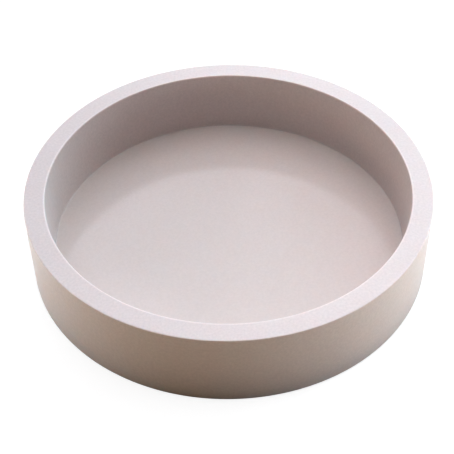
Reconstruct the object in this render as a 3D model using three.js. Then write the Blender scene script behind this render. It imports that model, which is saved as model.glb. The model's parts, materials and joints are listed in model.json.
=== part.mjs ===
// Round silicone cake mould: one thick-walled moulding with a flat rim, a drafted
// cavity and a flat underside, turned about +Z. Millimetres, +Z up, with the origin
// at the centre of the underside.
import * as THREE from "three";

// Outside
const RIM_DIAMETER = 200; // across the outer edge of the rim
const HEIGHT = 42; // underside to rim
const OUTSIDE_DRAFT_DEG = 0.4; // the outside narrows towards the underside

// Cavity
const RIM_WIDTH = 10.2; // flat top of the wall, between the cavity and the outside
const FLOOR_THICKNESS = 8; // underside to the floor of the cavity
const CAVITY_DRAFT_DEG = 2.2; // the cavity widens towards the rim, so that a cake lets go

// Edge roundings
const BASE_EDGE_RADIUS = 2; // outside wall to underside
const RIM_OUTER_RADIUS = 0.5; // rim to outside wall
const RIM_INNER_RADIUS = 0.5; // rim to cavity wall
const FLOOR_CORNER_RADIUS = 0.7; // cavity wall to floor

// Fineness of the mesh
const FACETS_AROUND = 120;
const STEPS_PER_ROUNDING = 4;

// How far a drafted wall leans over a given height.
function lean(height, draftDeg) {
  return height * Math.tan(THREE.MathUtils.degToRad(draftDeg));
}

// Points of the arc that rounds a corner between its two neighbours. The radius is
// limited so that no arc takes more than half of a side.
function roundedCorner(before, corner, after, radius) {
  const arriving = corner.clone().sub(before);
  const leaving = after.clone().sub(corner);
  const halfSide = Math.min(arriving.length(), leaving.length()) / 2;
  arriving.normalize();
  leaving.normalize();
  const turn = Math.atan2(arriving.cross(leaving), arriving.dot(leaving));
  const reachPerRadius = Math.tan(Math.abs(turn) / 2);
  const fitted = Math.min(radius, halfSide / reachPerRadius);
  const start = corner.clone().addScaledVector(arriving, -fitted * reachPerRadius);
  const towardsCentre = new THREE.Vector2(-arriving.y, arriving.x);
  const centre = start.clone().addScaledVector(towardsCentre, fitted * Math.sign(turn));
  const points = [];
  for (let step = 0; step <= STEPS_PER_ROUNDING; step += 1) {
    points.push(start.clone().rotateAround(centre, (turn * step) / STEPS_PER_ROUNDING));
  }
  return points;
}

// Half of the mould's section, as distance from the axis and height, from the middle
// of the underside round the wall to the middle of the cavity's floor.
function sectionOutline() {
  const rimRadius = RIM_DIAMETER / 2;
  const baseRadius = rimRadius - lean(HEIGHT, OUTSIDE_DRAFT_DEG);
  const cavityRadius = rimRadius - RIM_WIDTH;
  const floorRadius = cavityRadius - lean(HEIGHT - FLOOR_THICKNESS, CAVITY_DRAFT_DEG);

  const undersideCentre = new THREE.Vector2(0, 0);
  const baseEdge = new THREE.Vector2(baseRadius, 0);
  const rimOuterEdge = new THREE.Vector2(rimRadius, HEIGHT);
  const rimInnerEdge = new THREE.Vector2(cavityRadius, HEIGHT);
  const floorCorner = new THREE.Vector2(floorRadius, FLOOR_THICKNESS);
  const floorCentre = new THREE.Vector2(0, FLOOR_THICKNESS);

  return [
    undersideCentre,
    ...roundedCorner(undersideCentre, baseEdge, rimOuterEdge, BASE_EDGE_RADIUS),
    ...roundedCorner(baseEdge, rimOuterEdge, rimInnerEdge, RIM_OUTER_RADIUS),
    ...roundedCorner(rimOuterEdge, rimInnerEdge, floorCorner, RIM_INNER_RADIUS),
    ...roundedCorner(rimInnerEdge, floorCorner, floorCentre, FLOOR_CORNER_RADIUS),
    floorCentre,
  ];
}

// The whole moulding, in a pale greyish pink silicone with a satin face.
function mouldBody() {
  const silicone = new THREE.MeshStandardMaterial({
    color: 0xe3d7d6,
    roughness: 0.45,
    metalness: 0,
  });
  const turned = new THREE.LatheGeometry(sectionOutline(), FACETS_AROUND);
  const body = new THREE.Mesh(turned, silicone);
  body.name = "mould_body";
  body.rotation.x = Math.PI / 2; // a lathe turns about +Y, and the mould stands along +Z
  return body;
}

const cakeMould = new THREE.Group();
cakeMould.add(mouldBody());

export default cakeMould;
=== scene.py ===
"""Looks of a round silicone cake mould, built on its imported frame. Metres, +Z up."""

import json
import math

import bpy
from mathutils import Matrix, Vector, noise


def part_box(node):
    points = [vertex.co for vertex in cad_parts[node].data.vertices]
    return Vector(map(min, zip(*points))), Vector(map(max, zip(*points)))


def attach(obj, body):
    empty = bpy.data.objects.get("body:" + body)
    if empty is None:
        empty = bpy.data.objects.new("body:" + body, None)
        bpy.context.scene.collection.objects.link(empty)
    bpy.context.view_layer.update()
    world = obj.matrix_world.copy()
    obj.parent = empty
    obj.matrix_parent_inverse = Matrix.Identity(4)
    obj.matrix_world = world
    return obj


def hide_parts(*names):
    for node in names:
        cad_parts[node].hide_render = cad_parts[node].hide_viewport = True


MM = 0.001
UP = Vector((0, 0, 1))
WHITE = (1, 1, 1, 1)
BODY_NODE = "mould_body"

# Section of the mould
OUTSIDE_DRAFT = math.radians(0.4)
CAVITY_DRAFT = math.radians(2.2)
BASE_EDGE_RADIUS = 2.0 * MM
RIM_OUTER_RADIUS = 0.5 * MM
RIM_INNER_RADIUS = 0.5 * MM
FLOOR_CORNER_RADIUS = 0.7 * MM

# Fineness of the mesh
FACETS_AROUND = 360
STEPS_PER_ROUNDING = 10
LONGEST_STEP = 3.0 * MM
GUARD_STEP = 0.25 * MM

# Unevenness of the soft moulding
WAVE_HEIGHT = 0.06 * MM
WAVE_LENGTH = 45 * MM

# Values kept on the points of the mesh, for its material
POLISH_AND_SHADE = "polish"
HIGHLIGHT_DISTANCE = "highlight_distance"

# Silicone: satin all over, apart from the polished floor of the cavity, whose colour is painted darker
# as shade
SATIN_COLOUR = (0.75, 0.635, 0.6, 1)
POLISHED_SHADED_COLOUR = (0.62, 0.53, 0.49, 1)
SATIN_ROUGHNESS = 0.38
POLISHED_ROUGHNESS = 0.12
SATIN_MIRROR = 0.5
POLISHED_MIRROR = 0.25
MIRROR_FADE = 0.9
SILICONE_IOR = 1.41

# Wide clouds in its brightness
CLOUD_SIZE = 55 * MM
CLOUD_DETAIL = 3.0
CLOUD_CONTRAST = 0.015

# Small specks in its saturation and its roughness
SPECK_SIZE = 5 * MM
SPECK_DETAIL = 2.0
SPECK_TINT = 0.04
SPECK_GLOSS = 0.08

# Fine grain, in its brightness and as relief
GRAIN_SIZE = 1.2 * MM
GRAIN_DETAIL = 2.0
SATIN_GRAIN = 0.05
POLISHED_GRAIN = 0.03
GRAIN_HEIGHT = 0.02 * MM
SATIN_RELIEF = 1.0
POLISHED_RELIEF = 0.1

# Most of a pattern's values lie between these
PATTERN_LOW = 0.3
PATTERN_HIGH = 0.7

# Painted highlight: a paler line along the inner edge of the rim, standing in for light caught by its
# rounded edge
HIGHLIGHT_WIDTH = 1.0 * MM
HIGHLIGHT_FADE = 0.4 * MM
HIGHLIGHT_LIFT = 1.13

# Light that spreads inside the silicone: its share, and how far its red, green and blue reach
INNER_LIGHT = 0.3
LIGHT_REACH = 1.5 * MM
LIGHT_REACH_SHARES = (1.0, 0.5, 0.35)

# Camera, from the photograph's circles
IMAGE_SIZE_PX = 454
FOCAL_LENGTH_PX = 1134.8
RIM_CENTRE_PX = Vector((228.11, 185.10))
CAMERA_DISTANCE = 557.3 * MM
CAMERA_ELEVATION = math.radians(44.02)
CAMERA_ROLL = math.radians(-1.05)
SENSOR_WIDTH = 36.0

# Table, as bounced light meets it: a painted shadow, dark close to the mould, and pale further out
TABLE_SIZE = 12.0
TABLE_COLOUR = (0.7, 0.57, 0.43, 1)
PAINTED_SHADOW_COLOUR = (0.05, 0.035, 0.025, 1)
PAINTED_SHADOW_START = 102 * MM
PAINTED_SHADOW_END = 140 * MM

# Table, as it is seen: a white glow, and a grey that takes the shadow
SEEN_GLOW = 0.88
SEEN_GREY = (0.25, 0.25, 0.25, 1)

# Where mirrored rays begin to meet white, from front to back: on the table, and as a direction
TABLE_FRONT = -100 * MM
TABLE_BACK = 0.0
ROOM_FRONT = -0.5
ROOM_BACK = 0.0

# Soft patches of light around the room: azimuth, elevation, sharpness, strength, colour
SKY_GLOWS = [
    (70, 15, 25, 5.2, (0.4, 0.82, 1.0)),
    (40, 30, 25, 4.3, (0.6, 0.88, 1.0)),
    (90, 50, 8, 2.8, (0.91, 0.88, 1.0)),
    (30, 65, 25, 3.1, (0.98, 0.96, 1.0)),
    (160, 45, 8, 0.35, (0.95, 1.0, 1.0)),
]

# Overhead lamp
OVERHEAD_PLACE = Vector((0.15, 0.05, 0.7))
OVERHEAD_SIZE = 0.4
OVERHEAD_SPREAD = math.radians(20)
OVERHEAD_POWER = 0.15
OVERHEAD_COLOUR = (0.94, 0.97, 1.0)

# Low cards beside the mould: name, azimuth, power, colour
CARD_DISTANCE = 320 * MM
CARD_WIDTH = 300 * MM
CARD_HEIGHT = 70 * MM
SIDE_CARDS = [
    ("right_card", 345, 0.41, (0.87, 0.95, 1.0)),
    ("left_card", 174, 0.42, (0.8, 0.92, 1.0)),
]

# Narrow warm lamp at the front left
FRONT_AZIMUTH = 210
FRONT_DISTANCE = 600 * MM
FRONT_HEIGHT = 100 * MM
FRONT_LENGTH = 400 * MM
FRONT_WIDTH = 35 * MM
FRONT_POWER = 0.3
FRONT_COLOUR = (1.0, 0.7, 0.35)

# Spread of the cards and the warm lamp, which shine all over their front
WIDEST_SPREAD = math.pi


def mount_position(frame, name):
    """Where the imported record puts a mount."""
    return next(Vector(m["pos_m"]) for m in frame["record"]["mounts"] if m["name"] == name)


def cavity_radius(frame):
    """From the axis to the inner edge of the rim. The rim's mount is halfway across the rim."""
    return 2 * mount_position(frame, "rim_top").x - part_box(BODY_NODE)[1].x


def rounded_corner(before, corner, after, radius):
    """Points of the arc that rounds a corner of the section, as (distance from the axis, height)."""
    arriving = (corner - before).normalized()
    leaving = (after - corner).normalized()
    turn = math.atan2(arriving.cross(leaving), arriving.dot(leaving))
    start = corner - arriving * radius * math.tan(abs(turn) / 2)
    towards_centre = Vector((-arriving.y, arriving.x)) * math.copysign(1, turn)
    centre = start + towards_centre * radius
    spoke = start - centre
    points = []
    for step in range(STEPS_PER_ROUNDING + 1):
        turned = Matrix.Rotation(turn * step / STEPS_PER_ROUNDING, 2) @ spoke
        points.append(centre + turned)
    return points


def straight_stretch(start, end):
    """Points between two ends, close together, with one guard point beside each end."""
    along = end - start
    guard = along.normalized() * GUARD_STEP
    steps = max(1, math.ceil(along.length / LONGEST_STEP))
    spaced = [start + along * step / steps for step in range(1, steps)]
    return [start + guard, *spaced, end - guard]


def section_outline(frame):
    """Half of the mould's section, from the middle of the underside to the middle of the floor."""
    body_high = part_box(BODY_NODE)[1]
    rim_radius = body_high.x
    height = body_high.z
    floor_height = mount_position(frame, "cavity_floor").z
    inner_radius = cavity_radius(frame)
    base_radius = rim_radius - height * math.tan(OUTSIDE_DRAFT)
    floor_radius = inner_radius - (height - floor_height) * math.tan(CAVITY_DRAFT)

    underside_centre = Vector((0, 0))
    base_edge = Vector((base_radius, 0))
    rim_outer_edge = Vector((rim_radius, height))
    rim_inner_edge = Vector((inner_radius, height))
    floor_corner = Vector((floor_radius, floor_height))
    floor_centre = Vector((0, floor_height))

    base_rounding = rounded_corner(underside_centre, base_edge, rim_outer_edge, BASE_EDGE_RADIUS)
    outer_rounding = rounded_corner(base_edge, rim_outer_edge, rim_inner_edge, RIM_OUTER_RADIUS)
    inner_rounding = rounded_corner(rim_outer_edge, rim_inner_edge, floor_corner, RIM_INNER_RADIUS)
    floor_rounding = rounded_corner(rim_inner_edge, floor_corner, floor_centre, FLOOR_CORNER_RADIUS)
    return [
        underside_centre,
        *straight_stretch(underside_centre, base_rounding[0]),
        *base_rounding,
        *straight_stretch(base_rounding[-1], outer_rounding[0]),
        *outer_rounding,
        *straight_stretch(outer_rounding[-1], inner_rounding[0]),
        *inner_rounding,
        *straight_stretch(inner_rounding[-1], floor_rounding[0]),
        *floor_rounding,
        *straight_stretch(floor_rounding[-1], floor_centre),
        floor_centre,
    ]


def turned_mesh(name, outline):
    """A closed mesh of the outline turned about +Z, whose two ends lie on the axis."""
    first, *rings, last = outline
    vertices = []
    for point in rings:
        for facet in range(FACETS_AROUND):
            angle = math.tau * facet / FACETS_AROUND
            vertices.append((point.x * math.cos(angle), point.x * math.sin(angle), point.y))
    first_pole = len(vertices)
    last_pole = first_pole + 1
    vertices.append((0, 0, first.y))
    vertices.append((0, 0, last.y))

    faces = []
    last_ring = (len(rings) - 1) * FACETS_AROUND
    for facet in range(FACETS_AROUND):
        following = (facet + 1) % FACETS_AROUND
        faces.append((first_pole, following, facet))
        faces.append((last_pole, last_ring + facet, last_ring + following))
        for ring in range(len(rings) - 1):
            near = ring * FACETS_AROUND
            far = near + FACETS_AROUND
            faces.append((near + facet, near + following, far + following, far + facet))

    mesh = bpy.data.meshes.new(name)
    mesh.from_pydata(vertices, [], faces)
    mesh.validate()
    mesh.shade_smooth()
    return mesh


def make_uneven(mesh):
    """Moves each point a little along its normal, in long waves that fade out at the underside."""
    offsets = []
    for vertex in mesh.vertices:
        lifted = min(1.0, vertex.co.z / BASE_EDGE_RADIUS)
        wave = noise.noise(vertex.co / WAVE_LENGTH)
        offsets.append(vertex.normal * wave * WAVE_HEIGHT * lifted)
    for vertex, offset in zip(mesh.vertices, offsets):
        vertex.co += offset


def keep_on_points(mesh, name, values):
    """Keeps one value for each point of the mesh, which its material reads by name."""
    attribute = mesh.attributes.new(name, "FLOAT", "POINT")
    attribute.data.foreach_set("value", values)


def paint_polish_and_shade(mesh, frame):
    """Notes on each point how polished it is and how much painted shade darkens its colour: fully on
    the floor, and not at all above its corner.
    """
    inner_radius = cavity_radius(frame)
    floor_height = mount_position(frame, "cavity_floor").z
    values = []
    for vertex in mesh.vertices:
        inside = vertex.co.xy.length <= inner_radius and vertex.co.z > floor_height / 2
        above_floor = (vertex.co.z - floor_height) / FLOOR_CORNER_RADIUS
        values.append(max(0.0, 1.0 - above_floor) if inside else 0.0)
    keep_on_points(mesh, POLISH_AND_SHADE, values)


def paint_highlight_line(mesh, frame):
    """Notes on each point how far it is from the inner edge of the rim, where a highlight is painted.
    """
    edge = Vector((cavity_radius(frame), mount_position(frame, "rim_top").z))
    values = []
    for vertex in mesh.vertices:
        values.append((Vector((vertex.co.xy.length, vertex.co.z)) - edge).length)
    keep_on_points(mesh, HIGHLIGHT_DISTANCE, values)


class Nodes:
    """Short calls for building a node tree."""

    def __init__(self, tree):
        self.tree = tree
        tree.nodes.clear()

    def add(self, kind, **values):
        """A node of that kind, with its sockets and properties set and linked by name."""
        node = self.tree.nodes.new(kind)
        for name, value in values.items():
            socket = node.inputs.get(name.replace("_", " "))
            if socket is None:
                setattr(node, name, value)
            elif isinstance(value, bpy.types.NodeSocket):
                self.tree.links.new(value, socket)
            else:
                socket.default_value = value
        return node

    def join(self, kind, *sources, **values):
        """What a node of that kind makes of the sources, linked to its sockets in their order."""
        node = self.add(kind, **values)
        for source, socket in zip(sources, node.inputs):
            self.tree.links.new(source, socket)
        return node.outputs[0]


def times(nodes, first, second):
    """The product of two node values."""
    return nodes.join("ShaderNodeMath", first, second, operation="MULTIPLY")


def larger(nodes, first, second):
    """The larger of two node values."""
    return nodes.join("ShaderNodeMath", first, second, operation="MAXIMUM")


def added(nodes, first, second):
    """The sum of two shaders."""
    return nodes.join("ShaderNodeAddShader", first, second)


def mixed(nodes, factor, plain, shown):
    """A shader that is the plain one at factor 0 and the shown one at factor 1."""
    return nodes.join("ShaderNodeMixShader", factor, plain, shown)


def ranged(nodes, value, **limits):
    """A value moved from one range to another. Each limit is 0 or 1 unless it is given."""
    return nodes.add("ShaderNodeMapRange", Value=value, **limits).outputs["Result"]


def two_colours(nodes, factor, first, second):
    """A colour that runs from the first at factor 0 to the second at factor 1."""
    ramp = nodes.add("ShaderNodeValToRGB", Fac=factor)
    ramp.color_ramp.elements[0].color = first
    ramp.color_ramp.elements[1].color = second
    return ramp.outputs["Color"]


def cloudy(nodes, spot, size, detail):
    """A pattern of soft spots of about that size, from 0 to 1."""
    pattern = nodes.add("ShaderNodeTexNoise", Vector=spot, Scale=1 / size, Detail=detail)
    return pattern.outputs["Fac"]


def between(nodes, pattern, low, high):
    """A value that follows a pattern from low to high."""
    return ranged(nodes, pattern, From_Min=PATTERN_LOW, From_Max=PATTERN_HIGH, To_Min=low, To_Max=high)


def by_polish(nodes, polish, satin, polished):
    """A value that is the satin one where there is no polish and the polished one where it is full."""
    return ranged(nodes, polish, To_Min=satin, To_Max=polished)


def silicone_material():
    """Pale greyish pink silicone, softly clouded, satin all over but polished on the cavity's floor,
    whose colour is painted darker there as shade, with a painted highlight along the rim's inner edge.
    """
    material = bpy.data.materials.new("silicone")
    material.use_nodes = True
    nodes = Nodes(material.node_tree)
    spot = nodes.add("ShaderNodeTexCoord").outputs["Object"]
    polish = nodes.add("ShaderNodeAttribute", attribute_name=POLISH_AND_SHADE).outputs["Fac"]
    highlight_distance = nodes.add("ShaderNodeAttribute", attribute_name=HIGHLIGHT_DISTANCE).outputs["Fac"]
    clouds = cloudy(nodes, spot, CLOUD_SIZE, CLOUD_DETAIL)
    specks = cloudy(nodes, spot, SPECK_SIZE, SPECK_DETAIL)
    grain = cloudy(nodes, spot, GRAIN_SIZE, GRAIN_DETAIL)

    clouded = between(nodes, clouds, 1 - CLOUD_CONTRAST, 1 + CLOUD_CONTRAST)
    grain_low = by_polish(nodes, polish, 1 - SATIN_GRAIN, 1 - POLISHED_GRAIN)
    grain_high = by_polish(nodes, polish, 1 + SATIN_GRAIN, 1 + POLISHED_GRAIN)
    mottled = times(nodes, clouded, between(nodes, grain, grain_low, grain_high))
    # Painted highlight: the colour is brightened in a thin line along the rim's inner edge
    painted_highlight = ranged(
        nodes,
        highlight_distance,
        From_Min=HIGHLIGHT_WIDTH - HIGHLIGHT_FADE,
        From_Max=HIGHLIGHT_WIDTH,
        To_Min=HIGHLIGHT_LIFT,
        To_Max=1.0,
    )
    # Painted shade: the polished floor of the cavity takes a darker colour than the satin rim and walls
    colour = nodes.add(
        "ShaderNodeHueSaturation",
        Color=two_colours(nodes, polish, SATIN_COLOUR, POLISHED_SHADED_COLOUR),
        Saturation=between(nodes, specks, 1 - SPECK_TINT, 1 + SPECK_TINT),
        Value=times(nodes, mottled, painted_highlight),
    )
    even_roughness = by_polish(nodes, polish, SATIN_ROUGHNESS, POLISHED_ROUGHNESS)
    speck_roughness = between(nodes, specks, 1 - SPECK_GLOSS, 1 + SPECK_GLOSS)
    mirror = ranged(
        nodes, polish, From_Min=MIRROR_FADE, To_Min=SATIN_MIRROR, To_Max=POLISHED_MIRROR
    )
    relief = nodes.add(
        "ShaderNodeBump",
        Height=grain,
        Strength=by_polish(nodes, polish, SATIN_RELIEF, POLISHED_RELIEF),
        Distance=GRAIN_HEIGHT,
    )
    shader = nodes.add(
        "ShaderNodeBsdfPrincipled",
        Base_Color=colour.outputs["Color"],
        Roughness=times(nodes, even_roughness, speck_roughness),
        IOR=SILICONE_IOR,
        Specular_IOR_Level=mirror,
        Normal=relief.outputs["Normal"],
        Subsurface_Weight=INNER_LIGHT,
        Subsurface_Radius=LIGHT_REACH_SHARES,
        Subsurface_Scale=LIGHT_REACH,
    )
    nodes.add("ShaderNodeOutputMaterial", Surface=shader.outputs["BSDF"])
    return material


def mould_body(frame):
    """The whole moulding, in place of its plain solid."""
    mesh = turned_mesh(BODY_NODE, section_outline(frame))
    make_uneven(mesh)
    paint_polish_and_shade(mesh, frame)
    paint_highlight_line(mesh, frame)
    mesh.materials.append(silicone_material())
    body = bpy.data.objects.new("silicone_mould", mesh)
    bpy.context.collection.objects.link(body)
    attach(body, "root")
    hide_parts(BODY_NODE)


def seen_directly(nodes, path):
    """1 for rays from the camera, also through something clear, and 0 for others."""
    return larger(nodes, path.outputs["Is Camera Ray"], path.outputs["Is Transmission Ray"])


def mirrored_behind(nodes, path, place, front, back):
    """1 for mirrored rays that meet a place behind, and 0 in front and for other rays."""
    parts = nodes.add("ShaderNodeSeparateXYZ", Vector=place)
    behind = ranged(nodes, parts.outputs["Y"], From_Min=front, From_Max=back)
    return times(nodes, path.outputs["Is Glossy Ray"], behind)


def table_material():
    """A pale table with a painted shadow close to the mould, that looks white and keeps a faint shadow.
    """
    material = bpy.data.materials.new("table")
    material.use_nodes = True
    nodes = Nodes(material.node_tree)
    path = nodes.add("ShaderNodeLightPath")
    spot = nodes.add("ShaderNodeTexCoord").outputs["Object"]
    distance = nodes.add("ShaderNodeVectorMath", operation="LENGTH", Vector=spot)
    # Painted shadow: the table is dark close to the mould, for the light that bounces off it
    past_painted_shadow = ranged(nodes, distance.outputs["Value"], From_Min=PAINTED_SHADOW_START, From_Max=PAINTED_SHADOW_END)
    colour = two_colours(nodes, past_painted_shadow, PAINTED_SHADOW_COLOUR, TABLE_COLOUR)
    plain = nodes.add("ShaderNodeBsdfDiffuse", Color=colour)
    shadowed = nodes.add("ShaderNodeBsdfDiffuse", Color=SEEN_GREY)
    glow = nodes.add("ShaderNodeEmission", Color=WHITE, Strength=SEEN_GLOW)
    white = added(nodes, shadowed.outputs["BSDF"], glow.outputs["Emission"])
    mirrored = mirrored_behind(nodes, path, spot, TABLE_FRONT, TABLE_BACK)
    seen = larger(nodes, seen_directly(nodes, path), mirrored)
    surface = mixed(nodes, seen, plain.outputs["BSDF"], white)
    nodes.add("ShaderNodeOutputMaterial", Surface=surface)
    return material


def table():
    """The flat surface that the mould stands on."""
    half = TABLE_SIZE / 2
    corners = [(-half, -half, 0), (half, -half, 0), (half, half, 0), (-half, half, 0)]
    mesh = bpy.data.meshes.new("table")
    mesh.from_pydata(corners, [], [(0, 1, 2, 3)])
    mesh.materials.append(table_material())
    surface = bpy.data.objects.new("table", mesh)
    bpy.context.collection.objects.link(surface)


def heading(azimuth, elevation):
    """A unit vector. Azimuth 0 is to the right and 90 behind, in degrees."""
    around = math.radians(azimuth)
    above = math.radians(elevation)
    level = math.cos(above)
    return Vector((math.cos(around) * level, math.sin(around) * level, math.sin(above)))


def sky_glow(nodes, direction, azimuth, elevation, sharpness, strength, colour):
    """A soft round patch of light in the surroundings."""
    towards = nodes.add("ShaderNodeVectorMath", operation="DOT_PRODUCT", Vector=direction)
    towards.inputs[1].default_value = heading(azimuth, elevation)
    facing = nodes.add("ShaderNodeClamp", Value=towards.outputs["Value"])
    patch = nodes.add("ShaderNodeMath", operation="POWER", Value=facing.outputs["Result"])
    patch.inputs[1].default_value = sharpness
    level = ranged(nodes, patch.outputs["Value"], To_Max=strength)
    glow = nodes.add("ShaderNodeBackground", Color=(*colour, 1), Strength=level)
    return glow.outputs["Background"]


def surroundings():
    """A dim room with soft light behind, and a white backdrop where the background is seen."""
    world = bpy.data.worlds.new("surroundings")
    world.use_nodes = True
    nodes = Nodes(world.node_tree)
    path = nodes.add("ShaderNodeLightPath")
    direction = nodes.add("ShaderNodeTexCoord").outputs["Generated"]
    mirrored = mirrored_behind(nodes, path, direction, ROOM_FRONT, ROOM_BACK)
    backdrop = nodes.add("ShaderNodeBackground", Color=WHITE, Strength=mirrored)
    room = backdrop.outputs["Background"]
    for glow in SKY_GLOWS:
        room = added(nodes, room, sky_glow(nodes, direction, *glow))
    white = nodes.add("ShaderNodeBackground", Color=WHITE, Strength=1)
    surface = mixed(nodes, seen_directly(nodes, path), room, white.outputs["Background"])
    nodes.add("ShaderNodeOutputWorld", Surface=surface)
    bpy.context.scene.world = world


def lamp(name, place, outward, width, height, spread, power, colour):
    """A flat soft light at a place, which shines against the outward direction."""
    light = bpy.data.lights.new(name, "AREA")
    light.shape = "RECTANGLE"
    light.size = width
    light.size_y = height
    light.spread = spread
    light.energy = power
    light.color = colour
    source = bpy.data.objects.new(name, light)
    source.location = place
    source.rotation_euler = outward.to_track_quat("Z", "Y").to_euler()
    source.visible_camera = False
    bpy.context.collection.objects.link(source)


def side_card(name, azimuth, power, colour):
    """A low upright light that stands on the table beside the mould."""
    outward = heading(azimuth, 0)
    place = outward * CARD_DISTANCE + UP * CARD_HEIGHT / 2
    lamp(name, place, outward, CARD_WIDTH, CARD_HEIGHT, WIDEST_SPREAD, power, colour)


def lamps():
    """A narrow beam from overhead, a low card at either side, and a warm lamp at the front left."""
    lamp(
        "overhead",
        OVERHEAD_PLACE,
        UP,
        OVERHEAD_SIZE,
        OVERHEAD_SIZE,
        OVERHEAD_SPREAD,
        OVERHEAD_POWER,
        OVERHEAD_COLOUR,
    )
    for card in SIDE_CARDS:
        side_card(*card)
    outward = heading(FRONT_AZIMUTH, 0)
    lamp(
        "front",
        outward * FRONT_DISTANCE + UP * FRONT_HEIGHT,
        outward,
        FRONT_LENGTH,
        FRONT_WIDTH,
        WIDEST_SPREAD,
        FRONT_POWER,
        FRONT_COLOUR,
    )


def photo_camera():
    """A camera at the photograph's viewing angle, with the rim's centre at its pixel there."""
    across = Vector((1, 0, 0))
    forward = Vector((0, math.cos(CAMERA_ELEVATION), -math.sin(CAMERA_ELEVATION)))
    upward = across.cross(forward)
    roll = Matrix.Rotation(-CAMERA_ROLL, 3, forward)
    right = roll @ across
    up = roll @ upward
    offset = (RIM_CENTRE_PX - Vector((IMAGE_SIZE_PX, IMAGE_SIZE_PX)) / 2) / FOCAL_LENGTH_PX
    rim_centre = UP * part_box(BODY_NODE)[1].z
    eye = rim_centre - CAMERA_DISTANCE * (forward + right * offset.x - up * offset.y)

    lens = bpy.data.cameras.new("camera")
    lens.sensor_width = SENSOR_WIDTH
    lens.lens = SENSOR_WIDTH * FOCAL_LENGTH_PX / IMAGE_SIZE_PX
    camera = bpy.data.objects.new("camera", lens)
    axes = Matrix((right, up, -forward)).transposed()
    camera.matrix_world = Matrix.Translation(eye) @ axes.to_4x4()
    bpy.context.collection.objects.link(camera)
    bpy.context.scene.camera = camera


with open("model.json") as file:
    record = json.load(file)
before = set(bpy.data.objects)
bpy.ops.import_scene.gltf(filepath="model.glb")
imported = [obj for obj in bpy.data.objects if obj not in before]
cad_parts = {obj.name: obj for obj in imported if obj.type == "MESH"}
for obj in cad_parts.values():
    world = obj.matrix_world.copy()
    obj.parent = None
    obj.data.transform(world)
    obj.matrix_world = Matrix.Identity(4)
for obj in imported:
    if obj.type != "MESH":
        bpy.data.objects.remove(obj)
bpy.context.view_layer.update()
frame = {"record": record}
photo_camera()
mould_body(frame)
table()
surroundings()
lamps()
bpy.context.scene.view_settings.view_transform = "Standard"
